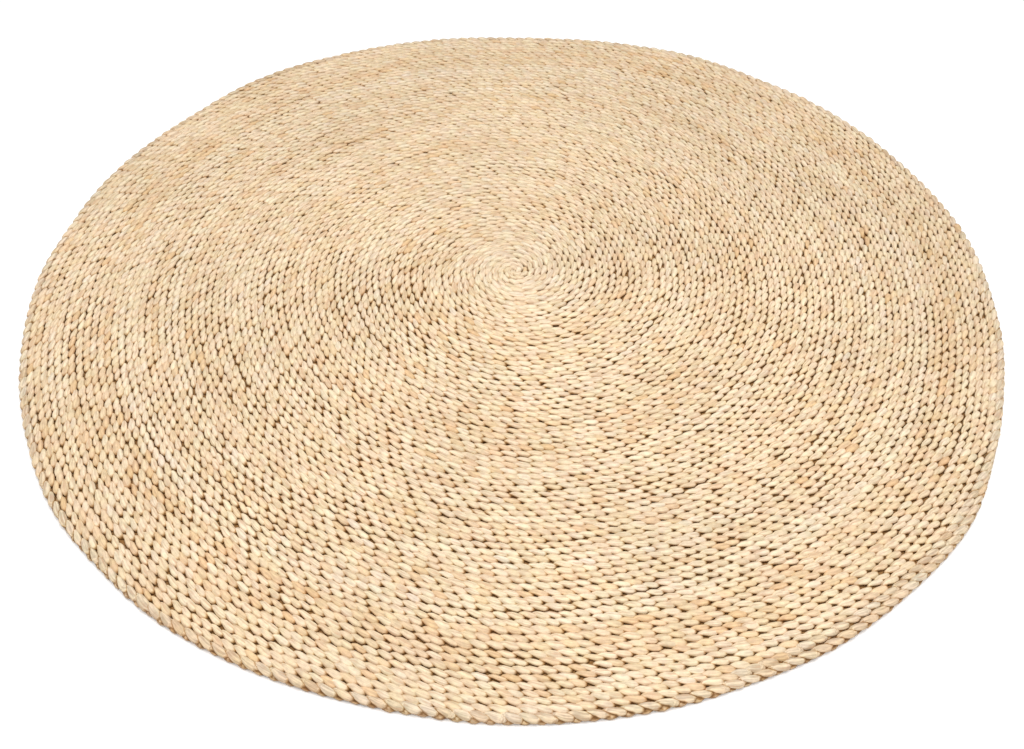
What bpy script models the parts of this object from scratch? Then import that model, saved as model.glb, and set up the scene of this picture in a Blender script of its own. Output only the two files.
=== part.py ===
# Round straw rug: one long three-strand braid, stood on its edge and sewn to itself in a flat spiral.
#
# The rug is a single solid. Its top carries the coil as it is wound: every round of the braid is a low rib
# with its crown along the middle and a seam groove on each side. The outline swells and dips as a hand-sewn
# rug's does, and the braid's tail thins out and is tucked against the round inside it. Metres, +Z up; the
# underside is flat at Z = 0, and the origin is the middle of the rug's box on the floor.

import math

import bmesh
import bpy

# Driving sizes, in metres and degrees
RUG_RADIUS = 1.000          # mean radius to the outside of the last round
RUG_HEIGHT = 0.018          # the braid stands on edge, so its width is the rug's thickness
ROUND_PITCH = 0.0132        # from one round of the braid to the next
GROOVE_DEPTH = 0.0045       # how far the seam between two rounds lies under their crowns
CROWN_WANDER = 0.0008       # how far a crown rises and falls along the braid
ROUND_WANDER = 0.0012       # how far the rounds stray sideways, together
RIM_BULGE = 0.0016          # the last round's side stands this far outside its upper seam
RIM_BELLY_HEIGHT = 0.0080   # height at which that side is widest
FOOT_INSET = 0.0030         # and how far the side draws in again at the floor
TAIL_ANGLE = -25.0          # direction of the braid's outer end, counter-clockwise from +X
TAIL_LENGTH = 0.26          # stretch over which the braid thins out to its end
SWELL_FADE = 3.0            # how quickly the outline's unevenness dies away towards the middle

# How finely the spiral is stepped
RIM_STEPS = 96              # steps in the last round
STEPS_PER_ROOT_TURN = 5.4   # steps in an inner round, times the square root of its number
LEAST_STEPS = 9             # steps in the innermost round

# Where a hand-sewn outline stands out (+) or draws in (-): direction and spread in degrees, size in metres
RIM_SWELLS = [
    {"name": "right broad swell", "at": 40, "out": 0.0105, "spread": 34},
    {"name": "right edge", "at": 8, "out": 0.0060, "spread": 9},
    {"name": "back right shoulder", "at": 62, "out": 0.0090, "spread": 7},
    {"name": "flattened back", "at": 90, "out": -0.0210, "spread": 13},
    {"name": "back left shoulder", "at": 130, "out": 0.0150, "spread": 10},
    {"name": "left back swell", "at": 156, "out": 0.0030, "spread": 8},
    {"name": "left notch", "at": 172, "out": -0.0060, "spread": 6},
    {"name": "left draw", "at": 193, "out": -0.0045, "spread": 14},
    {"name": "front left swell", "at": 218, "out": 0.0030, "spread": 7},
    {"name": "front left draw", "at": 256, "out": -0.0090, "spread": 14},
    {"name": "front draw", "at": 280, "out": -0.0045, "spread": 12},
    {"name": "front right draw", "at": 300, "out": -0.0020, "spread": 15},
    {"name": "past the tail", "at": 341, "out": -0.0050, "spread": 7},
]

TURNS = (RUG_RADIUS - RIM_BULGE) / ROUND_PITCH    # rounds that the braid makes from the middle to its end


def swell(angle):
    """Outward shift of the outline in a direction: the sum of out * exp(-(turned / spread)^2)."""
    total = 0.0
    for row in RIM_SWELLS:
        turned = (math.degrees(angle) - row["at"] + 180.0) % 360.0 - 180.0
        total += row["out"] * math.exp(-(turned / row["spread"]) ** 2)
    return total


def tail_share(turn):
    """Share of its full width that the braid still has: 1, then eased down to 0 along the tail."""
    left = (TURNS - turn) * 2.0 * math.pi * RUG_RADIUS / TAIL_LENGTH
    left = max(0.0, min(1.0, left))
    return left * left * (3.0 - 2.0 * left)


def place(turn, across, outward=0.0):
    """Plan position of a point of the braid: across is 0 at its inner seam, 0.5 on its crown, 1 at its outer."""
    angle = math.radians(TAIL_ANGLE) + 2.0 * math.pi * (turn - TURNS)
    plain = ROUND_PITCH * max(0.0, turn - 0.5 + across * tail_share(turn))
    ratio = plain / RUG_RADIUS
    stray = ROUND_WANDER * ratio * math.sin(5.0 * angle + 31.0 * ratio)
    radius = plain + stray + swell(angle) * ratio ** SWELL_FADE + outward
    return radius * math.cos(angle), radius * math.sin(angle)


def crown_height(turn):
    """Height of the crown: it wanders by CROWN_WANDER, and sinks to the seam's height along the tail."""
    wander = CROWN_WANDER * (math.sin(2.3 * turn) * math.cos(17.0 * turn) - 1.0) / 2.0
    seam = RUG_HEIGHT - GROOVE_DEPTH
    return seam + (GROOVE_DEPTH + wander) * tail_share(turn)


def turn_steps():
    """Turn numbers of the points along the braid: steps grow with the root of the turn, then the rim's."""
    steps = []
    turn = 0.0
    last_round = TURNS - 1.0
    while turn < last_round - 0.5 / RIM_STEPS:
        steps.append(turn)
        turn += 1.0 / max(LEAST_STEPS, STEPS_PER_ROOT_TURN * math.sqrt(turn))
    steps += [last_round + i / RIM_STEPS for i in range(RIM_STEPS + 1)]
    return steps


def rug_middle(steps):
    """Middle of the outline's box, which is brought to the origin."""
    rim = [place(turn, 1.0, RIM_BULGE) for turn in steps[-RIM_STEPS - 1:]]
    xs = [point[0] for point in rim]
    ys = [point[1] for point in rim]
    return (min(xs) + max(xs)) / 2.0, (min(ys) + max(ys)) / 2.0


def add_line(bm, steps, middle, across, height, outward=0.0):
    """A line of vertices along the braid; height is a number or a function of the turn."""
    line = []
    for turn in steps:
        x, y = place(turn, across, outward)
        z = height(turn) if callable(height) else height
        line.append(bm.verts.new((x - middle[0], y - middle[1], z)))
    return line


def sew_strip(bm, inner, inner_turns, outer, outer_turns):
    """Triangles between two lines of the spiral, always stepping along the line that lags behind."""
    i = 0
    j = 0
    while i < len(inner) - 1 or j < len(outer) - 1:
        inner_next = inner_turns[i + 1] if i < len(inner) - 1 else math.inf
        outer_next = outer_turns[j + 1] if j < len(outer) - 1 else math.inf
        if inner_next < outer_next:
            bm.faces.new((inner[i], outer[j], inner[i + 1]))
            i += 1
        else:
            bm.faces.new((inner[i], outer[j], outer[j + 1]))
            j += 1


def ring_band(bm, upper, lower):
    """Faces between two closed rings of the rim with the same number of vertices."""
    count = len(upper)
    for i in range(count):
        k = (i + 1) % count
        bm.faces.new((upper[i], lower[i], lower[k], upper[k]))


def coil_mesh():
    steps = turn_steps()
    middle = rug_middle(steps)
    bm = bmesh.new()
    crown = add_line(bm, steps, middle, 0.5, crown_height)
    seam = add_line(bm, steps, middle, 1.0, RUG_HEIGHT - GROOVE_DEPTH)

    # The round's outer slope runs from its crown to the seam at the same turn
    sew_strip(bm, crown, steps, seam, steps)

    # The next round's inner slope runs from that seam to the crown one turn further on
    sewn = steps.index(TURNS - 1.0) + 1
    start = next(i for i, turn in enumerate(steps) if turn >= 1.0)
    shifted = [turn - 1.0 for turn in steps[start:]]
    sew_strip(bm, seam[:sewn], steps[:sewn], crown[start:], shifted)

    # The middle of the coil: a fan from the braid's first point over its first round
    for i in range(1, start):
        bm.faces.new((crown[0], crown[i], crown[i + 1]))
    bm.faces.new((crown[0], crown[start], seam[0]))

    # The rim: the last round's side bulges out and draws in again to the floor
    rim_steps = steps[sewn - 1:-1]
    shoulder = seam[sewn - 1:-1]
    belly = add_line(bm, rim_steps, middle, 1.0, RIM_BELLY_HEIGHT, RIM_BULGE)
    foot = add_line(bm, rim_steps, middle, 1.0, 0.0, RIM_BULGE - FOOT_INSET)
    tail_end = seam[sewn - 1]
    bmesh.ops.weld_verts(bm, targetmap={crown[-1]: tail_end, seam[-1]: tail_end})
    ring_band(bm, shoulder, belly)
    ring_band(bm, belly, foot)

    # The flat underside
    hub = bm.verts.new((-middle[0], -middle[1], 0.0))
    for i in range(len(foot)):
        bm.faces.new((hub, foot[(i + 1) % len(foot)], foot[i]))

    bmesh.ops.recalc_face_normals(bm, faces=bm.faces)
    mesh = bpy.data.meshes.new("braid_coil")
    bm.to_mesh(mesh)
    bm.free()
    mesh.shade_smooth()
    mesh.set_sharp_from_angle(angle=math.radians(75.0))
    return mesh


def straw_material():
    material = bpy.data.materials.new("straw")
    material.use_nodes = True
    shader = material.node_tree.nodes["Principled BSDF"]
    shader.inputs["Base Color"].default_value = (0.76, 0.60, 0.38, 1.0)
    shader.inputs["Roughness"].default_value = 0.75
    shader.inputs["Metallic"].default_value = 0.0
    return material


def build():
    for old in list(bpy.data.objects):
        bpy.data.objects.remove(old, do_unlink=True)
    rug = bpy.data.objects.new("braid_coil", coil_mesh())
    rug.data.materials.append(straw_material())
    bpy.context.scene.collection.objects.link(rug)


build()
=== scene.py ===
# Round straw rug: a three-strand straw braid stood on edge and sewn in a spiral.
import bpy
import numpy as np
from mathutils import Matrix


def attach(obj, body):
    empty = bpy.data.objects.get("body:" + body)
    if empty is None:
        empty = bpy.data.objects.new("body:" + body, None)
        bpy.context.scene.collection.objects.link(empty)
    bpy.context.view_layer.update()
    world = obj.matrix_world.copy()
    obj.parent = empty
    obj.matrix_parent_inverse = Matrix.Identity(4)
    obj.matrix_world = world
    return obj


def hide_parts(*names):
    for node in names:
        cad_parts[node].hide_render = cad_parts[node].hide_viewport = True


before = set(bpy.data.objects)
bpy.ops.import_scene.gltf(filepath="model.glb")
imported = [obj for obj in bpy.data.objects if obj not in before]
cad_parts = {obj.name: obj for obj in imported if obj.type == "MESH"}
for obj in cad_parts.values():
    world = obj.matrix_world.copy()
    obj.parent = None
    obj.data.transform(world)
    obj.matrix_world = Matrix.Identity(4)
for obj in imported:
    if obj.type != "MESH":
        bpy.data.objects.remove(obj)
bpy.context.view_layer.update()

# The coil as the frame has it, in metres and degrees
coil = {
    "rugRadius": 1.000,      # mean radius to the outside of the last round
    "rugHeight": 0.018,      # the braid stands on edge, so its width is the rug's thickness
    "roundPitch": 0.0132,    # from one round of the braid to the next
    "roundWander": 0.0012,   # how far the rounds stray sideways, together
    "wanderWaves": 5,        # waves of that in a round
    "wanderTwist": 31,       # radians that they shift by, from the middle to the rim
    "rimBulge": 0.0016,      # the last round's side stands this far outside its upper seam
    "tailAngle": -25.0,      # direction of the braid's outer end
    "tailLength": 0.26,      # stretch over which the braid thins out to its end
    "swellFade": 3.0,        # how quickly the outline's unevenness dies away inwards
    "rimSteps": 96,          # steps of the outline, for its middle
}
# Where the outline stands out or draws in: direction and spread in degrees, size in metres
rimSwells = [
    {"name": "right broad swell", "at": 40, "out": 0.0105, "spread": 34},
    {"name": "right edge", "at": 8, "out": 0.0060, "spread": 9},
    {"name": "back right shoulder", "at": 62, "out": 0.0090, "spread": 7},
    {"name": "flattened back", "at": 90, "out": -0.0210, "spread": 13},
    {"name": "back left shoulder", "at": 130, "out": 0.0150, "spread": 10},
    {"name": "left back swell", "at": 156, "out": 0.0030, "spread": 8},
    {"name": "left notch", "at": 172, "out": -0.0060, "spread": 6},
    {"name": "left draw", "at": 193, "out": -0.0045, "spread": 14},
    {"name": "front left swell", "at": 218, "out": 0.0030, "spread": 7},
    {"name": "front left draw", "at": 256, "out": -0.0090, "spread": 14},
    {"name": "front draw", "at": 280, "out": -0.0045, "spread": 12},
    {"name": "front right draw", "at": 300, "out": -0.0020, "spread": 15},
    {"name": "past the tail", "at": 341, "out": -0.0050, "spread": 7},
]
turns = (coil["rugRadius"] - coil["rimBulge"]) / coil["roundPitch"]  # rounds from the middle to the end


# eased = 3 f^2 - 2 f^3, which rises from 0 to 1 with level ends
def eased(part):
    return part * part * (3 - 2 * part)


# unit = v / |v|
def unit(vector):
    return vector / np.linalg.norm(vector, axis=-1, keepdims=True)


# swell = sum over the table of out * exp(-(turned / spread)^2), turned being the angle from a row's
# direction
def swell(angle):
    at, out, spread = (np.array([row[key] for row in rimSwells]) for key in ("at", "out", "spread"))
    turned = (np.degrees(angle)[..., None] - at + 180) % 360 - 180
    return (out * np.exp(-(turned / spread) ** 2)).sum(-1)


# share of the full width: the part of the tail that is left, eased
def tailShare(turn):
    left = (turns - turn) * 2 * np.pi * coil["rugRadius"] / coil["tailLength"]
    return eased(np.clip(left, 0, 1))


# share of a size near the tail: least + (1 - least) * share of the full width
def thinned(turn, least):
    return least + (1 - least) * tailShare(turn)


# angle = tail + 2 pi (turn - turns)
def angleAt(turn):
    return np.radians(coil["tailAngle"]) + 2 * np.pi * (turn - turns)


# (r cos a, r sin a), r = plain + wander sin(waves a + twist plain / R) plain / R
# + swell(a) (plain / R)^fade, plain = pitch (turn - 1/2 + across share): across is 0 and 1 at the seams
def planPoint(turn, across):
    angle = angleAt(turn)
    plain = coil["roundPitch"] * np.maximum(0, turn - 0.5 + across * tailShare(turn))
    ratio = plain / coil["rugRadius"]
    wave = np.sin(coil["wanderWaves"] * angle + coil["wanderTwist"] * ratio)
    radius = plain + coil["roundWander"] * ratio * wave + swell(angle) * ratio ** coil["swellFade"]
    return np.stack([radius * np.cos(angle), radius * np.sin(angle)], -1)


rimTurns = turns - 1 + np.arange(coil["rimSteps"] + 1) / coil["rimSteps"]
rimOut = coil["rimBulge"] * np.stack([np.cos(angleAt(rimTurns)), np.sin(angleAt(rimTurns))], -1)
rimPoints = planPoint(rimTurns, 1.0) + rimOut
middle = (rimPoints.min(0) + rimPoints.max(0)) / 2  # the box's middle is the frame's origin


# middle line of the braid: the plan point halfway across, from the frame's origin
def pathPoint(turn):
    return planPoint(turn, 0.5) - middle


# The braid: three strands that pass over and under each other, in metres and degrees
braid = {
    # from lobe to lobe: in the middle, from the fifth round, before the rim and in the last round
    "lobe": ((0.0, 0.0120), (5.0, 0.0235), (turns - 1.25, 0.0218), (turns - 0.95, 0.0262)),
    # a strand over one pass, from where it comes up (0) over the lobe (90) to where it dives (180); the
    # pass below is the same turned over: degrees, side, rise, half width, half height
    "shape": ((0, -0.0006, 0.0000, 0.0048, 0.0052),
              (20, -0.0022, 0.0013, 0.0050, 0.0056),
              (35, -0.0027, 0.0024, 0.0051, 0.0058),
              (52, -0.0027, 0.0031, 0.0053, 0.0060),
              (72, -0.0014, 0.0034, 0.0061, 0.0060),
              (90, 0.0000, 0.0035, 0.0067, 0.0060),
              (112, 0.0013, 0.0035, 0.0069, 0.0060),
              (132, 0.0022, 0.0031, 0.0066, 0.0060),
              (150, 0.0025, 0.0019, 0.0057, 0.0057),
              (163, 0.0016, 0.0000, 0.0050, 0.0054),
              (172, 0.0005, -0.0004, 0.0048, 0.0053),
              (180, -0.0006, 0.0000, 0.0048, 0.0052)),
    "plump": 2.1,            # 2 an oval section, more a squarer one
    "sizeDrift": 0.05,       # strands are this share thicker and thinner along the braid
    "lobeDrift": 0.08,       # and the lobes longer and shorter
    "lobeDriftLength": 0.3,  # over about this length
    "sideDrift": 0.0004,     # a round strays sideways by itself
    "heightDrift": 0.0006,   # and up and down, on its top
    "heightDrop": 0.0006,    # which stands lower by this
    "leanDrift": 4.5,        # and leans, in degrees
    "driftLength": 0.16,     # over about this length
    "driftMost": 1.8,        # chance values are cut off here
    "gapDrift": 0.0001,      # slower straying, which opens and closes the seams in long arcs
    "gapLength": 0.90,
    "rimFrom": 1.2,          # rounds before the end where the rim's own straying begins
    "rimEase": 0.2,          # and over how many it grows
    "rimLean": 8.0,          # the last round leans more, so its lower strands show at places
    "rimStray": 0.0010,      # and strays in and out more
    "rimDraw": 0.0006,       # and is drawn in by this
    "tailRise": 0.35,        # share of the strands' rise that is left at the tail's end
    "tailSize": 0.25,        # and of their thickness
    "heartSize": 0.10,       # strands are this share thicker in the middle of the coil
    "heartTurns": 9.0,       # rounds over which that and the seams' depth change
    "seed": 11,
    "tableSize": 30001,      # rows of the table of lobes
    "pathStep": 0.002,       # rounds either way, for the path's direction
    "phaseStep": 0.02,       # radians either way, for a strand's direction
}
lobePhase = 2 * np.pi / 3  # phase that a strand goes through from one lobe on top to the next
usualLobe = braid["lobe"][2][1]  # length of a lobe of the outer rounds
chanceKinds = ("tone", "lean", "side", "height", "size", "lobe", "rimLean", "rimStray", "gap", "band")
seeds = {kind: braid["seed"] + k for k, kind in enumerate(chanceKinds)}


# smooth chance values along the braid: knots a fixed length apart, eased from each to the next; the
# braid's length up to a turn is pi pitch turn^2
def drift(turn, kind, length=braid["driftLength"]):
    along = np.pi * coil["roundPitch"] * turn ** 2 / length
    knots = np.random.default_rng(seeds[kind]).normal(0, 1, int(along.max()) + 3)
    knots = np.clip(knots, -braid["driftMost"], braid["driftMost"])
    whole = np.floor(along).astype(int)
    part = eased(along - whole)
    return knots[whole] * (1 - part) + knots[whole + 1] * part


# lobes up to each turn: the length of a round over that of a lobe, summed up turn by turn
turnTable = np.linspace(0, turns, braid["tableSize"])
lobeAlong = np.interp(turnTable, *np.array(braid["lobe"]).T)
lobeAlong *= 1 + braid["lobeDrift"] * drift(turnTable, "lobe", braid["lobeDriftLength"])
lobeRate = 2 * np.pi * coil["roundPitch"] * turnTable / lobeAlong
lobeTable = np.concatenate([[0], np.cumsum((lobeRate[1:] + lobeRate[:-1]) / 2 * np.diff(turnTable))])
lobeCount = int(lobeTable[-1]) + 8  # with a few to spare past the tail's end
braidLength = float(np.pi * coil["roundPitch"] * turns ** 2)
print("lobes on top", int(lobeTable[-1]), "braid length", round(braidLength, 1))


# turn of a lobe number, read between the rows of the table
def turnAt(lobe):
    return np.interp(lobe, lobeTable, turnTable)


# lobe number of a turn, read the other way
def lobeAt(turn):
    return np.interp(turn, turnTable, lobeTable)


# share of the rim: (turn - where it begins) / the rounds over which it grows, eased
def rimShare(turn):
    return eased(np.clip((turn - (turns - braid["rimFrom"])) / braid["rimEase"], 0, 1))


# side, rise, half width or half height at a phase: the shape table read at the phase within its pass
def shapeAt(phase, column):
    table = np.array(braid["shape"])
    return np.interp(np.degrees(phase) % 180, table[:, 0], table[:, column])


# strand point: path + outward * (side cos l + rise sin l + stray)
# + up * (half the rug + rise cos l - side sin l - drop (sin p + 1) / 2), l the lean and p the strand's
# phase; the rise is downwards in the pass below
def strandPoint(lobe, phase):
    turn = turnAt(lobe)
    ahead = unit(pathPoint(turn + braid["pathStep"]) - pathPoint(turn - braid["pathStep"]))
    outward = np.stack([ahead[..., 1], -ahead[..., 0]], -1)
    side = shapeAt(phase, 1) * tailShare(turn)
    over = np.where(phase % (2 * np.pi) < np.pi, 1, -1)
    rise = shapeAt(phase, 2) * over * thinned(turn, braid["tailRise"])
    edge = rimShare(turn)
    lean = braid["leanDrift"] * drift(turn, "lean")
    lean = np.radians(lean + edge * braid["rimLean"] * drift(turn, "rimLean"))
    stray = braid["sideDrift"] * drift(turn, "side")
    stray += braid["gapDrift"] * drift(turn, "gap", braid["gapLength"])
    stray += edge * (braid["rimStray"] * drift(turn, "rimStray") - braid["rimDraw"])
    sideLeant = side * np.cos(lean) + rise * np.sin(lean) + stray
    drop = braid["heightDrop"] - braid["heightDrift"] * drift(turn, "height")
    riseLeant = rise * np.cos(lean) - side * np.sin(lean) - drop * (np.sin(phase) + 1) / 2
    height = coil["rugHeight"] / 2 + riseLeant
    flat = pathPoint(turn) + outward * sideLeant[..., None]
    return np.concatenate([flat, height[..., None]], -1), outward


# ring of a strand: centre + wide c cos(a) e1 + high c sin(a) e2, square to the strand's run, with e1
# outward, e2 up and c = (|cos a|^n + |sin a|^n)^(-1/n)
def strandRings(lobe, phase, around, wideScale, highScale):
    centre, outward = strandPoint(lobe, phase)
    step = braid["phaseStep"]
    after, _ = strandPoint(lobe + step / lobePhase, phase + step)
    before, _ = strandPoint(lobe - step / lobePhase, phase - step)
    run = unit(after - before)
    outFlat = np.concatenate([outward, 0 * outward[..., :1]], -1)
    upward = unit(np.cross(outFlat, run))
    across = np.cross(run, upward)
    turn = turnAt(lobe)
    share = thinned(turn, braid["tailSize"]) + braid["sizeDrift"] * drift(turn, "size")
    share += braid["heartSize"] * np.exp(-(turn / braid["heartTurns"]) ** 2)
    wide = shapeAt(phase, 3) * wideScale * share
    high = shapeAt(phase, 4) * highScale * share
    power = braid["plump"]
    full = (np.abs(np.cos(around)) ** power + np.abs(np.sin(around)) ** power) ** (-1 / power)
    sideways = across[..., None, :] * (wide[..., None] * full * np.cos(around))[..., None]
    upwards = upward[..., None, :] * (high[..., None] * full * np.sin(around))[..., None]
    return centre, centre[..., None, :] + sideways + upwards


# how far outwards ring points stand from a centre: (point - centre) . outward, in plan
def outwardFrom(rings, centre, outward):
    return ((rings[..., :2] - centre[:, :, None, :2]) * outward[:, :, None]).sum(-1)


# least distance of ring points from the two other strands of the braid at the same place, in half sizes
# of those strands: sqrt((side / half width)^2 + (up / half height)^2), 1 on their surface
def strandGap(lobe, phase, rings):
    _, outward = strandPoint(lobe, phase)
    size = thinned(turnAt(lobe), braid["tailSize"])[..., None]
    gaps = []
    for turned in (lobePhase, -lobePhase):
        centre, _ = strandPoint(lobe, phase + turned)
        side = outwardFrom(rings, centre, outward) / shapeAt(phase + turned, 3)[..., None]
        up = (rings[..., 2] - centre[:, :, None, 2]) / shapeAt(phase + turned, 4)[..., None]
        gaps.append(np.hypot(side, up) / size)
    return np.minimum(*gaps)


# depth = most * (high - value) / (high - low), cut off at 0 and at the most
def depthBelow(values, low, high, most):
    return most * np.clip((high - values) / (high - low), 0, 1)


# one mesh from flat arrays: a face's first corner is the sum of the face sizes before it
def meshFrom(name, points, corners, counts):
    mesh = bpy.data.meshes.new(name)
    mesh.vertices.add(len(points))
    mesh.vertices.foreach_set("co", points.astype(np.float32).ravel())
    mesh.loops.add(len(corners))
    mesh.loops.foreach_set("vertex_index", corners.astype(np.int32))
    starts = np.concatenate([[0], np.cumsum(counts)[:-1]])
    mesh.polygons.add(len(counts))
    mesh.polygons.foreach_set("loop_start", starts.astype(np.int32))
    mesh.update(calc_edges=True)
    mesh.shade_smooth()
    return mesh


# one value for each vertex, in the mesh's own order
def addAttribute(mesh, name, values):
    layer = mesh.attributes.new(name, "FLOAT", "POINT")
    layer.data.foreach_set("value", values.astype(np.float32).ravel())


# one pair for each corner, in the faces' order
def addUv(mesh, pairs):
    layer = mesh.uv_layers.new(name="fibre")
    layer.data.foreach_set("uv", pairs.astype(np.float32).ravel())


# closed tubes as one mesh: rings is (tubes, along, around, 3), point (t, j, i) has number
# t (along around + 2) + j around + i, and the poles at both ends come last in a tube; the UV is (length
# along the strand, length round it) in metres, with its seam under the strand
def tubeMesh(name, rings, startPoles, endPoles, alongUv, aroundUv):
    tubes, along, around = rings.shape[:3]
    perTube = along * around + 2
    points = np.concatenate([rings.reshape(tubes, -1, 3), startPoles[:, None], endPoles[:, None]], 1)
    first = (np.arange(tubes) * perTube)[:, None, None]
    j = np.arange(along - 1)[None, :, None]
    i = np.arange(around)[None, None, :]
    nextI = (i + 1) % around
    quads = np.stack([first + j * around + i, first + j * around + nextI,
                      first + (j + 1) * around + nextI, first + (j + 1) * around + i], -1)
    u0 = alongUv[:, 1:-2, None] + 0 * i
    u1 = alongUv[:, 2:-1, None] + 0 * i
    v0 = aroundUv[i] + 0 * u0
    v1 = aroundUv[i + 1] + 0 * u0
    quadUv = np.stack([u0, v0, u0, v1, u1, v1, u1, v0], -1)
    i = np.arange(around)[None, :]
    nextI = (i + 1) % around
    first = first[:, 0]
    last = (along - 1) * around
    pole = first + along * around + 0 * i
    startCaps = np.stack([pole, first + nextI, first + i], -1)
    endCaps = np.stack([first + last + i, first + last + nextI, pole + 1], -1)
    v0 = aroundUv[i] + 0 * alongUv[:, :1]
    v1 = aroundUv[i + 1] + 0 * alongUv[:, :1]
    vMid = (v0 + v1) / 2
    uStart, uFirst, uLast, uEnd = (alongUv[:, [k]] + 0 * v0 for k in (0, 1, -2, -1))
    startUv = np.stack([uStart, vMid, uFirst, v1, uFirst, v0], -1)
    endUv = np.stack([uLast, v0, uLast, v1, uEnd, vMid], -1)
    corners = np.concatenate([quads.ravel(), startCaps.ravel(), endCaps.ravel()])
    counts = np.repeat([4, 3], [quads.size // 4, (startCaps.size + endCaps.size) // 3])
    mesh = meshFrom(name, points.reshape(-1, 3), corners, counts)
    addUv(mesh, np.concatenate([quadUv.ravel(), startUv.ravel(), endUv.ravel()]))
    return mesh


# a piece of the rug: it rides the rug's one body and has the straw's slot
def addPiece(name, mesh, material):
    piece = bpy.data.objects.new(name, mesh)
    mesh.materials.append(material)
    bpy.context.scene.collection.objects.link(piece)
    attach(piece, "root")
    return piece


# a node with its settings; an input is a plain value, or (node, output) for a link
def addNode(tree, kind, inputs=None, **settings):
    node = tree.nodes.new(kind)
    for key, value in settings.items():
        setattr(node, key, value)
    for key, value in (inputs or {}).items():
        if isinstance(value, tuple) and isinstance(value[0], bpy.types.Node):
            tree.links.new(value[0].outputs[value[1]], node.inputs[key])
        else:
            node.inputs[key].default_value = value
    return node


# colours read between (place, colour) stops
def addRamp(tree, source, stops):
    ramp = addNode(tree, "ShaderNodeValToRGB", {"Fac": source})
    elements = ramp.color_ramp.elements
    while len(elements) < len(stops):
        elements.new(0.5)
    for element, (place, colour) in zip(elements, stops):
        element.position = place
        element.color = (*colour, 1)
    return ramp


# colour = first * second
def addMultiply(tree, first, second):
    return addNode(tree, "ShaderNodeMix", {0: 1.0, 6: first, 7: second},
                   data_type="RGBA", blend_type="MULTIPLY")


# value = first + (last - first) (source - low) / (high - low), cut off at both ends
def addRange(tree, source, low, high, first, last, way="LINEAR"):
    return addNode(tree, "ShaderNodeMapRange", {"Value": source, "From Min": low, "From Max": high,
                                                "To Min": first, "To Max": last}, interpolation_type=way)


# value = the operation on the values in their order
def addMath(tree, operation, *values):
    return addNode(tree, "ShaderNodeMath", dict(enumerate(values)), operation=operation)


# fibres: noise read at (along * fibres along, round * fibres across, own * shift), so it is drawn out
# along the strand; height = crease * its height + fine
fibres = {
    "details": {"Fine": 3.0, "Crease": 1.5},
    "ownShift": 37.0,        # how far the pattern moves from one tone to another
    "creaseHeight": 2.5,     # of the fine fibres' height
}


# in: the strand's UV in metres, its tone and the fibres a metre; out: fine lines, creases and the height
# of both
def fibreGroup():
    tree = bpy.data.node_groups.new("strawFibre", "ShaderNodeTree")
    for name in ("Own", "Fine Across", "Fine Along", "Crease Across", "Crease Along"):
        tree.interface.new_socket(name=name, in_out="INPUT", socket_type="NodeSocketFloat")
    tree.interface.new_socket(name="Along", in_out="INPUT", socket_type="NodeSocketVector")
    for name in ("Fine", "Crease", "Height"):
        tree.interface.new_socket(name=name, in_out="OUTPUT", socket_type="NodeSocketFloat")
    entry = addNode(tree, "NodeGroupInput")
    leave = addNode(tree, "NodeGroupOutput")
    parts = addNode(tree, "ShaderNodeSeparateXYZ", {"Vector": (entry, "Along")})
    shift = addMath(tree, "MULTIPLY", (entry, "Own"), fibres["ownShift"])
    found = {}
    for name, detail in fibres["details"].items():
        runU = addMath(tree, "MULTIPLY", (parts, "X"), (entry, name + " Along"))
        runV = addMath(tree, "MULTIPLY", (parts, "Y"), (entry, name + " Across"))
        spot = addNode(tree, "ShaderNodeCombineXYZ", {"X": (runU, 0), "Y": (runV, 0), "Z": (shift, 0)})
        found[name] = addNode(tree, "ShaderNodeTexNoise",
                              {"Vector": (spot, 0), "Scale": 1.0, "Detail": detail})
        tree.links.new(found[name].outputs["Fac"], leave.inputs[name])
    height = addMath(tree, "MULTIPLY_ADD", (found["Crease"], "Fac"), fibres["creaseHeight"],
                     (found["Fine"], "Fac"))
    tree.links.new(height.outputs[0], leave.inputs["Height"])
    return tree


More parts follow.
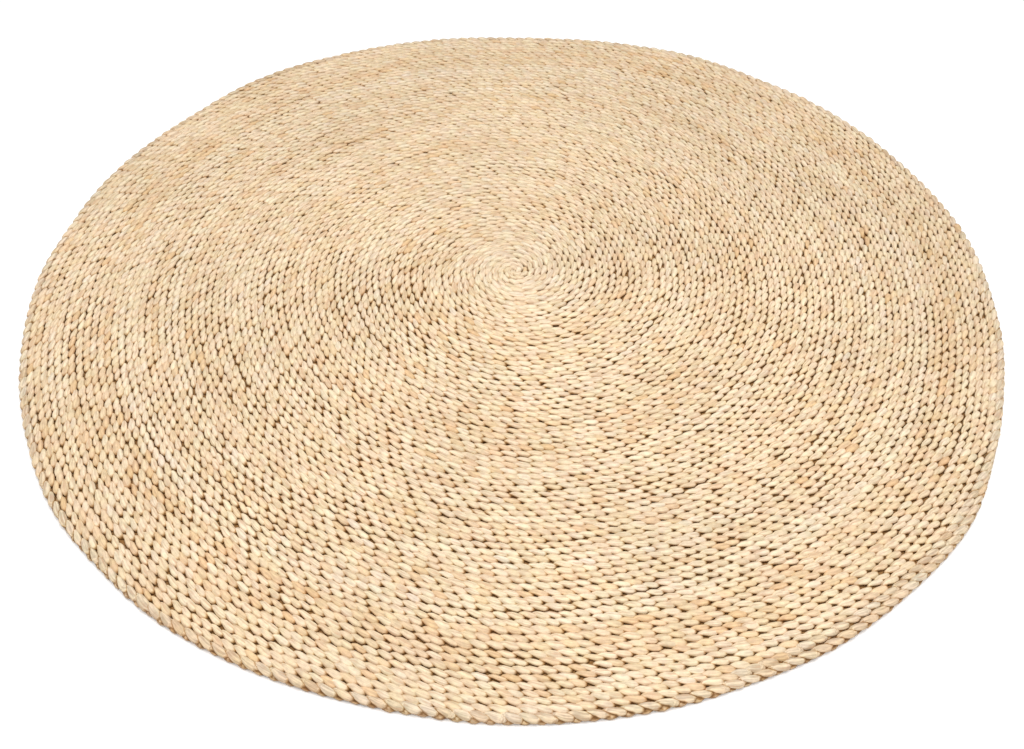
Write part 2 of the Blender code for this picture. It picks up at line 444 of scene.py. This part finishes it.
# straw: tone picks the strand's colour, fibres and creases run along it, patches drift over the rug and
# painted shade turns the hollows brown
straw = {
    "tones": [
        (0.00, (0.780, 0.530, 0.300)),
        (0.25, (0.830, 0.630, 0.415)),
        (0.50, (0.860, 0.690, 0.485)),
        (0.75, (0.870, 0.720, 0.530)),
        (1.00, (0.870, 0.735, 0.575)),
    ],
    "paintedShadeColours": [                 # painted shade: how much of the own colour is left, from the crests to the hollows
        (0.00, (1.00, 1.00, 1.00)),
        (0.25, (0.97, 0.94, 0.90)),
        (0.50, (0.78, 0.66, 0.52)),
        (0.75, (0.44, 0.29, 0.15)),
        (1.00, (0.21, 0.115, 0.04)),
    ],
    "fine": (800.0, 70.0),       # fibres a metre across, and along
    "fineDepth": 0.16,           # how much they darken
    "crease": (300.0, 40.0),     # creases likewise; a piece's streakDepth says how much they darken
    "creaseColour": (0.560, 0.330, 0.190),
    "creaseDepth": 0.45,         # how much of that colour lies in the deepest
    "patchScale": 2.6,
    "patchDepth": 0.07,
    "mottleScale": 150.0,
    "mottleDepth": 0.13,
    "tints": ((0.98, 1.00, 0.95), (1.00, 0.975, 0.98)),  # greener and rosier places
    "tintScale": 42.0,
    "noiseSpan": (0.35, 0.65),   # noise values between which a shade goes from its depth to none
    "streakSpan": (0.35, 0.60),  # likewise for creases
    "creaseSpan": (0.30, 0.42),  # and for their colour
    "tintSpan": (0.38, 0.62),    # and from the one tint to the other
    "toneMiddle": 0.48,          # of the lobes' tones
    "toneOwn": 0.12,             # by a lobe's own chance
    "toneSlow": 0.12,            # by its strand's drift
    "slowShares": (0.4, 0, 0, 0.6, 0, 0, 0.4),  # in which every third lobe is of the same strand
    "bandDepth": 0.09,           # by bands of rounds
    "bandWidth": 2.6,            # rounds in a band of one tone
    "bandStray": 1.2,            # rounds by which it strays in and out
    "roughness": 0.62,
    "shine": 0.2,
    "bump": 0.45,
    "bumpDistance": 0.0005,
}


# a new material with its node tree and its shader
def newMaterial(name):
    material = bpy.data.materials.new(name)
    material.use_nodes = True
    return material, material.node_tree, material.node_tree.nodes["Principled BSDF"]


# shade = 1 - depth to 1 over the middle span of a noise on the rug's own coordinates
def addPatches(tree, place, scale, depth):
    noise = addNode(tree, "ShaderNodeTexNoise", {"Vector": (place, "Object"), "Scale": scale})
    return addRange(tree, (noise, "Fac"), *straw["noiseSpan"], 1 - depth, 1.0)


# colour * what the painted shade leaves of it, a bump from the height, and the straw's own roughness and
# shine
def finishStraw(tree, shader, colour, paintedShade, height, strength, distance):
    left = addRamp(tree, paintedShade, straw["paintedShadeColours"])
    deep = addMultiply(tree, colour, (left, "Color"))
    bump = addNode(tree, "ShaderNodeBump",
                   {"Height": height, "Strength": strength, "Distance": distance})
    tree.links.new(deep.outputs[2], shader.inputs["Base Color"])
    tree.links.new(bump.outputs["Normal"], shader.inputs["Normal"])
    shader.inputs["Roughness"].default_value = straw["roughness"]
    shader.inputs["Specular IOR Level"].default_value = straw["shine"]


# colour = tone's colour * patches * mottle * fibres * streaks * tint, drawn towards the crease colour in
# the creases, then * what the painted shade leaves
def strawMaterial(name, fibre, piece):
    material, tree, shader = newMaterial(name)
    tone = addNode(tree, "ShaderNodeAttribute", attribute_name="tone")
    # painted shade by vertex, darker in the hollows and creases
    paintedShade = addNode(tree, "ShaderNodeAttribute", attribute_name="paintedShade")
    uv = addNode(tree, "ShaderNodeUVMap", uv_map="fibre")
    place = addNode(tree, "ShaderNodeTexCoord")
    colour = addRamp(tree, (tone, "Fac"), straw["tones"])
    patches = addPatches(tree, place, straw["patchScale"], straw["patchDepth"])
    mottle = addPatches(tree, place, straw["mottleScale"], straw["mottleDepth"])
    group = addNode(tree, "ShaderNodeGroup", node_tree=fibre)
    tree.links.new(tone.outputs["Fac"], group.inputs["Own"])
    tree.links.new(uv.outputs["UV"], group.inputs["Along"])
    for kind in ("fine", "crease"):
        group.inputs[kind.capitalize() + " Across"].default_value = straw[kind][0]
        group.inputs[kind.capitalize() + " Along"].default_value = straw[kind][1]
    fine = addRange(tree, (group, "Fine"), *straw["noiseSpan"], 1 - straw["fineDepth"], 1.0)
    streaks = addRange(tree, (group, "Crease"), *straw["streakSpan"], 1 - piece["streakDepth"], 1.0)
    shade = patches
    for more in (mottle, fine, streaks):
        shade = addMath(tree, "MULTIPLY", (shade, 0), (more, 0))
    shaded = addMultiply(tree, (colour, "Color"), (shade, 0))
    tintNoise = addNode(tree, "ShaderNodeTexNoise",
                        {"Vector": (place, "Object"), "Scale": straw["tintScale"]})
    # a piece's painted shade cast, greyer on the rim, times the greener and rosier tints
    tints = [tuple(np.array(piece["shadeCast"]) * tint) for tint in straw["tints"]]
    tintColour = addRamp(tree, (tintNoise, "Fac"), list(zip(straw["tintSpan"], tints)))
    tinted = addMultiply(tree, (shaded, 2), (tintColour, "Color"))
    creased = addRange(tree, (group, "Crease"), *straw["creaseSpan"], straw["creaseDepth"], 0.0)
    creaseColour = (*straw["creaseColour"], 1)
    lined = addNode(tree, "ShaderNodeMix", {0: (creased, 0), 6: (tinted, 2), 7: creaseColour},
                    data_type="RGBA")
    finishStraw(tree, shader, (lined, 2), (paintedShade, "Fac"), (group, "Height"), straw["bump"],
                straw["bumpDistance"])
    return material


# tone = middle + own chance + slow drift along the lobe's own strand + bands a few rounds wide that
# stray in and out once a round: chance knots read at (turn + stray sin(2 pi turn)) / width
def lobeTones(numbers):
    turn = turnAt(np.arange(lobeCount))
    band = (turn + straw["bandStray"] * np.sin(2 * np.pi * turn)) / straw["bandWidth"]
    knots = np.random.default_rng(seeds["band"]).normal(0, 1, int(turns / straw["bandWidth"]) + 3)
    bands = np.interp(band, np.arange(len(knots)), knots)
    rng = np.random.default_rng(seeds["tone"])
    own = rng.normal(0, 1, lobeCount)
    chance = rng.normal(0, 1, lobeCount + len(straw["slowShares"]) - 1)
    slow = np.convolve(chance, straw["slowShares"], "valid")
    tones = straw["toneMiddle"] + straw["toneOwn"] * own + straw["toneSlow"] * slow
    return np.clip(tones + straw["bandDepth"] * bands, 0, 1)[numbers]


# The rounds: each lobe is the upper part of a strand, from where it comes up to where it dives
rounds = {
    "fullRounds": 1.12,      # the last rounds are whole braid instead, because their side shows
    "phases": (-25, 6, 30, 53, 78, 108, 136, 161, 190),
    "around": (270, 185, 135, 90, 45, -5),
    "lobeJitter": 0.08,      # chance in a lobe's place, in lobes
    "sizeJitter": 0.095,     # and in its width
    "highJitter": 0.0475,    # and in its height
    "moveJitter": 0.00048,   # and in its place sideways and downwards
    "seed": braid["seed"] + 20,
    "pieces": 5,
    "paintedShade": (0.0070, 0.0158, 0.97),  # painted shade by height: deepest, none, and the most
    "crease": (0.97, 1.30, 0.85),      # painted shade where it meets the strands beside it: distances, likewise
    "creaseFrom": (-0.0045, 0.0030),   # sideways, outwards: where the painted crease shade begins and where it is full
    "creaseLeast": 0.25,     # share of it further in
    "ends": (0.7, 0.8),      # painted shade added at a lobe's two ends, where it dives
    "heart": 0.5,            # share of all that painted shade that is left in the middle of the coil
    "round": 0.034,          # length round a strand
    "streakDepth": 0.22,
    "shadeCast": (1.0, 1.0, 1.0),
}


# painted shade = depth from the height + depth from the gap to the strands beside it, the latter growing
# from the braid's inner to its outer side, and both less in the middle of the coil; by vertex, the poles
# last
def lobePaintedShade(lobe, phase, centre, rings):
    _, outward = strandPoint(lobe, phase)
    start, full = rounds["creaseFrom"]
    outer = (outwardFrom(rings, pathPoint(turnAt(lobe)), outward) - start) / (full - start)
    outer = np.clip(outer, rounds["creaseLeast"], 1)
    depth = depthBelow(strandGap(lobe, phase, rings), *rounds["crease"]) * outer
    depth += depthBelow(rings[..., 2], *rounds["paintedShade"])
    poles = depthBelow(centre[:, [0, -1], 2], *rounds["paintedShade"]) + rounds["ends"]
    depth = np.clip(np.concatenate([depth[:, 1:-1].reshape(len(lobe), -1), poles], 1), 0, 1)
    near = np.exp(-(turnAt(lobe[:, :1]) / braid["heartTurns"]) ** 2)
    return depth * (1 - (1 - rounds["heart"]) * near)


# a lobe's crest, phase 90 degrees, is at its number + chance, so a ring is at number + chance
# + (phase - 90) / the phase from lobe to lobe; length along = phase / that phase * the usual lobe
def buildRounds(material):
    numbers = np.arange(int(lobeAt(turns - rounds["fullRounds"])))
    rng = np.random.default_rng(rounds["seed"])
    moved, wider, higher, aside, raised = rng.normal(0, 1, (5, len(numbers), 1))
    tones = lobeTones(numbers)
    phases = np.radians(np.array(rounds["phases"], float))[None, :]
    around = np.radians(np.array(rounds["around"], float))
    aroundUv = (270 - np.array([*rounds["around"], -90])) / 360 * rounds["round"]
    pieces = []
    for k, chosen in enumerate(np.array_split(numbers, rounds["pieces"])):
        lobe = chosen[:, None] + rounds["lobeJitter"] * moved[chosen] + (phases - np.pi / 2) / lobePhase
        phase = phases + 0 * lobe
        wideScale = 1 + rounds["sizeJitter"] * wider[chosen]
        highScale = 1 + rounds["highJitter"] * higher[chosen]
        centre, rings = strandRings(lobe, phase, around, wideScale, highScale)
        _, outward = strandPoint(lobe, phase)
        sideways = outward * aside[chosen][..., None]
        downwards = -np.abs(raised[chosen])[..., None] + 0 * outward[..., :1]
        move = rounds["moveJitter"] * np.concatenate([sideways, downwards], -1)
        centre = centre + move
        rings = rings + move[..., None, :]
        alongUv = phase / lobePhase * usualLobe
        name = f"round_lobes_{k + 1}"
        mesh = tubeMesh(name, rings[:, 1:-1], centre[:, 0], centre[:, -1], alongUv, aroundUv)
        # painted shade of the lobes in their hollows, creases and ends
        addAttribute(mesh, "paintedShade", lobePaintedShade(lobe, phase, centre, rings))
        addAttribute(mesh, "tone", np.repeat(tones[chosen], len(mesh.vertices) // len(chosen)))
        pieces.append(addPiece(name, mesh, material))
        print("built", name, "lobes", len(chosen), "faces", len(mesh.polygons))
    return pieces


# The rim: the last round and a little of the one before it, as three whole strands
rim = {
    "lead": 1.1,             # lobes by which a strand begins before its first
    "endsBefore": 0.0004,    # rounds short of the braid's end
    "ringsPerLobe": 5,
    "around": 10,
    "sizeJitter": 0.07,      # chance in a strand's size
    "jitterSteps": 12,       # rings from one chance value to the next
    "seed": braid["seed"] + 30,
    "lowest": 0.0002,        # pressed flat on the floor
    "paintedShade": (0.0, 0.0130, 0.50),      # painted shade by height, as for the rounds
    "crease": (1.00, 1.34, 1.3),        # painted shade in the creases between strands: distances likewise
    "shade": (-0.0065, -0.0010, 0.28),  # painted shade on the outer side, inwards from the path: deepest, none, and the most
    "streakDepth": 0.38,
    "shadeCast": (0.95, 0.965, 1.0),         # painted shade: greyer than the rounds, as for a side that faces outward and down
}


# values of the ring points of each tube, then the first and the last once more for its two poles
def withPoles(values):
    return np.concatenate([values, values[:, :1], values[:, -1:]], 1)


# strand k runs from lobe k - lead to the end, with phase = (lobe - k) * phase from lobe to lobe + 90
# degrees; painted shade = depth from the gap + depth from the height + more on the outer side
def buildRim(material):
    firstLobes = int(lobeAt(turns - rounds["fullRounds"])) + np.arange(3)[:, None]
    startLobes = firstLobes - rim["lead"]
    endLobe = lobeAt(turns - rim["endsBefore"])
    count = int((endLobe - firstLobes[0, 0]) * rim["ringsPerLobe"])
    lobe = startLobes + (endLobe - startLobes) * np.linspace(0, 1, count)
    phase = lobePhase * (lobe - firstLobes) + np.pi / 2
    around = np.radians(270 - 360 * np.arange(rim["around"]) / rim["around"])
    steps = rim["jitterSteps"]
    chance = np.random.default_rng(rim["seed"]).normal(0, 1, (3, count // steps + 2))
    knots = np.arange(chance.shape[1]) * steps
    drifts = np.stack([np.interp(np.arange(count), knots, row) for row in chance])
    scale = 1 + rim["sizeJitter"] * drifts
    centre, rings = strandRings(lobe, phase, around, scale, scale)
    rings[..., 2] = np.maximum(rings[..., 2], rim["lowest"])
    alongUv = phase / lobePhase * usualLobe
    aroundUv = np.arange(rim["around"] + 1) / rim["around"] * rounds["round"]
    mesh = tubeMesh("rim_strands", rings[:, 1:-1], centre[:, 0], centre[:, -1], alongUv, aroundUv)
    nearest = np.clip(np.round(lobe[:, 1:-1]).astype(int), 0, lobeCount - 1)
    addAttribute(mesh, "tone", withPoles(np.repeat(lobeTones(nearest), rim["around"], axis=1)))
    _, outward = strandPoint(lobe, phase)
    # painted shade in the creases, low down and on the outer side
    deep = depthBelow(strandGap(lobe, phase, rings), *rim["crease"])
    deep += depthBelow(rings[..., 2], *rim["paintedShade"])
    deep += depthBelow(-outwardFrom(rings, pathPoint(turnAt(lobe)), outward), *rim["shade"])
    addAttribute(mesh, "paintedShade", withPoles(np.clip(deep[:, 1:-1].reshape(3, -1), 0, 1)))
    print("built", mesh.name, "faces", len(mesh.polygons))
    return addPiece(mesh.name, mesh, material)


# The underside: the lower edges of the rounds as one ribbed sheet, thickened up into the braid, its upper
# face painted dark as shade
underside = {
    "stepsPerRound": 40,
    "acrossSteps": 3,
    "lowest": 0.0003,
    "groove": 0.0030,
    "thickness": 0.0055,
    "endsBefore": 0.02,      # rounds short of the braid's end
    "lastWidth": 0.4,        # part of the last round's width that the sheet reaches
    "least": 0.30,           # painted shade on its crests, as on the rim's foot
    "seamDepth": 0.47,       # painted shade added in a seam
    "seamFrom": 0.55,        # part of the way from a round's middle to its seam
    "slant": 0.85,           # lobes that a crease between two of them runs back, from seam to seam
    "creaseShare": 0.45,     # painted shade in a crease, as a share of a seam's depth
    "creaseWidth": 0.20,     # in lobes
    "toneSpan": (0.25, 0.75),      # of its lobes
    "darkFrom": (0.0036, 0.0052),  # heights between which the sheet's upper face is painted dark, as shade seen in the gaps
    "darkMost": 0.86,
    "bump": 0.55,
    "bumpDistance": 0.0030,
}


# z = lowest + groove (2 across - 1)^2 over each round, across from seam to seam, and a fan of triangles
# closes the middle; the UV is (lobe number, across)
def buildUnderside(material):
    steps = underside["stepsPerRound"]
    wide = underside["acrossSteps"]
    seamHeight = underside["lowest"] + underside["groove"]
    lastTurn = turns - underside["endsBefore"]
    count = int((lastTurn - 0.5) * steps)
    turn = (lastTurn - (count - np.arange(count + 1)) / steps)[:, None]
    across = (np.arange(wide) / wide)[None, :]
    reach = np.where(turn > lastTurn - 1, underside["lastWidth"], 1.0)
    flat = planPoint(turn + 0 * across, across * reach) - middle
    z = underside["lowest"] + underside["groove"] * (2 * across - 1) ** 2 + 0 * turn
    grid = np.concatenate([flat, z[..., None]], -1).reshape(-1, 3)
    outerFlat = planPoint(turn[-steps - 1:, 0], underside["lastWidth"]) - middle
    outer = np.concatenate([outerFlat, seamHeight + 0 * outerFlat[:, :1]], -1)
    hub = np.array([[-middle[0], -middle[1], seamHeight]])
    points = np.concatenate([grid, outer, hub])
    lobe = lobeAt(turn[:, 0])
    n = np.arange(count)

    # point beyond the last step across: the next round's first, or the outer edge's in the last round
    def beyond(n):
        return np.where(n + steps <= count, (n + steps) * wide, len(grid) + n - (count - steps))

    rows = []
    pairs = []
    for j in range(wide):
        here = n * wide + j
        side = here + 1 if j < wide - 1 else beyond(n)
        sideNext = here + wide + 1 if j < wide - 1 else beyond(n + 1)
        rows.append(np.stack([here, here + wide, sideNext, side], -1))
        low = j / wide + 0 * n
        high = (j + 1) / wide + 0 * n
        pairs.append(np.stack([lobe[:-1], low, lobe[1:], low, lobe[1:], high, lobe[:-1], high], -1))
    quads = np.concatenate(rows)
    n = np.arange(steps)
    fan = np.stack([(n + 1) * wide, n * wide, 0 * n + len(points) - 1], -1)
    fanUv = np.stack([lobe[1:steps + 1], 0 * n, lobe[:steps], 0 * n, lobe[:steps], 0 * n], -1)
    corners = np.concatenate([quads.ravel(), fan.ravel()])
    mesh = meshFrom("underside", points, corners, np.repeat([4, 3], [len(quads), len(fan)]))
    addUv(mesh, np.concatenate([np.concatenate(pairs).ravel(), fanUv.ravel()]))
    piece = addPiece("underside", mesh, material)
    thick = piece.modifiers.new("thick", "SOLIDIFY")
    thick.thickness = underside["thickness"]
    thick.offset = -1
    print("built underside, faces", len(mesh.polygons))
    return piece


# flat lobes: place p = lobe number + slant across, a crease where p is whole, a seam where
# |2 across - 1| nears 1, both together as painted shade; each whole p picks its tone by chance
def undersideMaterial(name):
    material, tree, shader = newMaterial(name)
    uv = addNode(tree, "ShaderNodeUVMap", uv_map="fibre")
    parts = addNode(tree, "ShaderNodeSeparateXYZ", {"Vector": (uv, "UV")})
    along = addMath(tree, "MULTIPLY_ADD", (parts, "Y"), underside["slant"], (parts, "X"))
    number = addMath(tree, "FLOOR", (along, 0))
    wave = addMath(tree, "PINGPONG", (along, 0), 0.5)
    crease = addRange(tree, (wave, 0), 0.0, underside["creaseWidth"], 1.0, 0.0, "SMOOTHSTEP")
    off = addMath(tree, "MULTIPLY_ADD", (parts, "Y"), 2.0, -1.0)
    off = addMath(tree, "ABSOLUTE", (off, 0))
    seam = addRange(tree, (off, 0), underside["seamFrom"], 1.0, 0.0, 1.0, "SMOOTHSTEP")
    both = addMath(tree, "MULTIPLY_ADD", (crease, 0), underside["creaseShare"], (seam, 0))
    # painted shade: least on the crests, more in the seams and creases
    low = addMath(tree, "MULTIPLY_ADD", (both, 0), underside["seamDepth"], underside["least"])
    chance = addNode(tree, "ShaderNodeTexWhiteNoise", {"W": (number, 0)}, noise_dimensions="1D")
    tone = addRange(tree, (chance, "Value"), 0.0, 1.0, *underside["toneSpan"])
    colour = addRamp(tree, (tone, 0), straw["tones"])
    place = addNode(tree, "ShaderNodeTexCoord")
    mottle = addPatches(tree, place, straw["mottleScale"], straw["mottleDepth"])
    shaded = addMultiply(tree, (colour, "Color"), (mottle, 0))
    heights = addNode(tree, "ShaderNodeSeparateXYZ", {"Vector": (place, "Object")})
    # painted shade on the sheet's upper face, seen through the gaps
    upper = addRange(tree, (heights, "Z"), *underside["darkFrom"], 0.0, underside["darkMost"])
    paintedShade = addMath(tree, "MAXIMUM", (low, 0), (upper, 0))
    rise = addMath(tree, "SUBTRACT", 1.0, (both, 0))
    finishStraw(tree, shader, (shaded, 2), (paintedShade, 0), (rise, 0), underside["bump"],
                underside["bumpDistance"])
    return material


# Floor, light and camera
studio = {
    "floorSize": 14.0,
    "floorColour": (0.93, 0.93, 0.93),
    "floorRoughness": 0.9,
    "worldStrength": 0.89,
    "keyPlace": (0.1, -0.95, 2.6),
    "keyAim": (0.0, 0.0, 0.0),
    "keySize": 2.0,
    "keyPower": 61.0,
    "cameraPlace": (-0.0047, -1.6542, 1.4621),
    "cameraAim": (-0.0047, -0.2776, 0.0),
    "cameraRoll": 0.38,      # degrees
    "lens": 36.43,           # on a sensor 36 wide
    "sensor": 36,
}


# columns: right, up, back and place; ahead = unit(aim - place), right = unit(ahead x Z), up = right x
# ahead, and right and up are turned by the roll
def lookAt(place, aim, roll):
    place = np.array(place)
    ahead = unit(np.array(aim) - place)
    right = unit(np.cross(ahead, [0, 0, 1]))
    up = np.cross(right, ahead)
    c, s = np.cos(np.radians(roll)), np.sin(np.radians(roll))
    columns = [c * right + s * up, c * up - s * right, -ahead, place]
    return Matrix(np.vstack([np.stack(columns, 1), [0, 0, 0, 1]]).tolist())


# a square floor at height 0, an even white surround, one square lamp over the front and the camera
def buildStudio():
    half = studio["floorSize"] / 2
    corners = np.array([[-half, -half, 0], [half, -half, 0], [half, half, 0], [-half, half, 0]])
    mesh = meshFrom("floor", corners, np.arange(4), np.array([4]))
    floor = bpy.data.objects.new("floor", mesh)
    bpy.context.scene.collection.objects.link(floor)
    material, _, shader = newMaterial("pale_floor")
    shader.inputs["Base Color"].default_value = (*studio["floorColour"], 1)
    shader.inputs["Roughness"].default_value = studio["floorRoughness"]
    mesh.materials.append(material)

    world = bpy.data.worlds.new("soft_room")
    bpy.context.scene.world = world
    world.use_nodes = True
    backdrop = world.node_tree.nodes["Background"]
    backdrop.inputs["Color"].default_value = (1, 1, 1, 1)
    backdrop.inputs["Strength"].default_value = studio["worldStrength"]

    light = bpy.data.lights.new("key", "AREA")
    light.shape = "SQUARE"
    light.size = studio["keySize"]
    light.energy = studio["keyPower"]
    key = bpy.data.objects.new("key", light)
    key.matrix_world = lookAt(studio["keyPlace"], studio["keyAim"], 0)
    bpy.context.scene.collection.objects.link(key)

    camera = bpy.data.objects.new("camera", bpy.data.cameras.new("camera"))
    camera.data.lens = studio["lens"]
    camera.data.sensor_width = studio["sensor"]
    camera.matrix_world = lookAt(studio["cameraPlace"], studio["cameraAim"], studio["cameraRoll"])
    bpy.context.scene.collection.objects.link(camera)
    bpy.context.scene.camera = camera
    bpy.context.scene.view_settings.view_transform = "Standard"


fibre = fibreGroup()
roundPieces = buildRounds(strawMaterial("straw_braid", fibre, rounds))
rimPiece = buildRim(strawMaterial("straw_rim", fibre, rim))
sheetPiece = buildUnderside(undersideMaterial("straw_underside"))

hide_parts("braid_coil")

buildStudio()
print("studio ready")
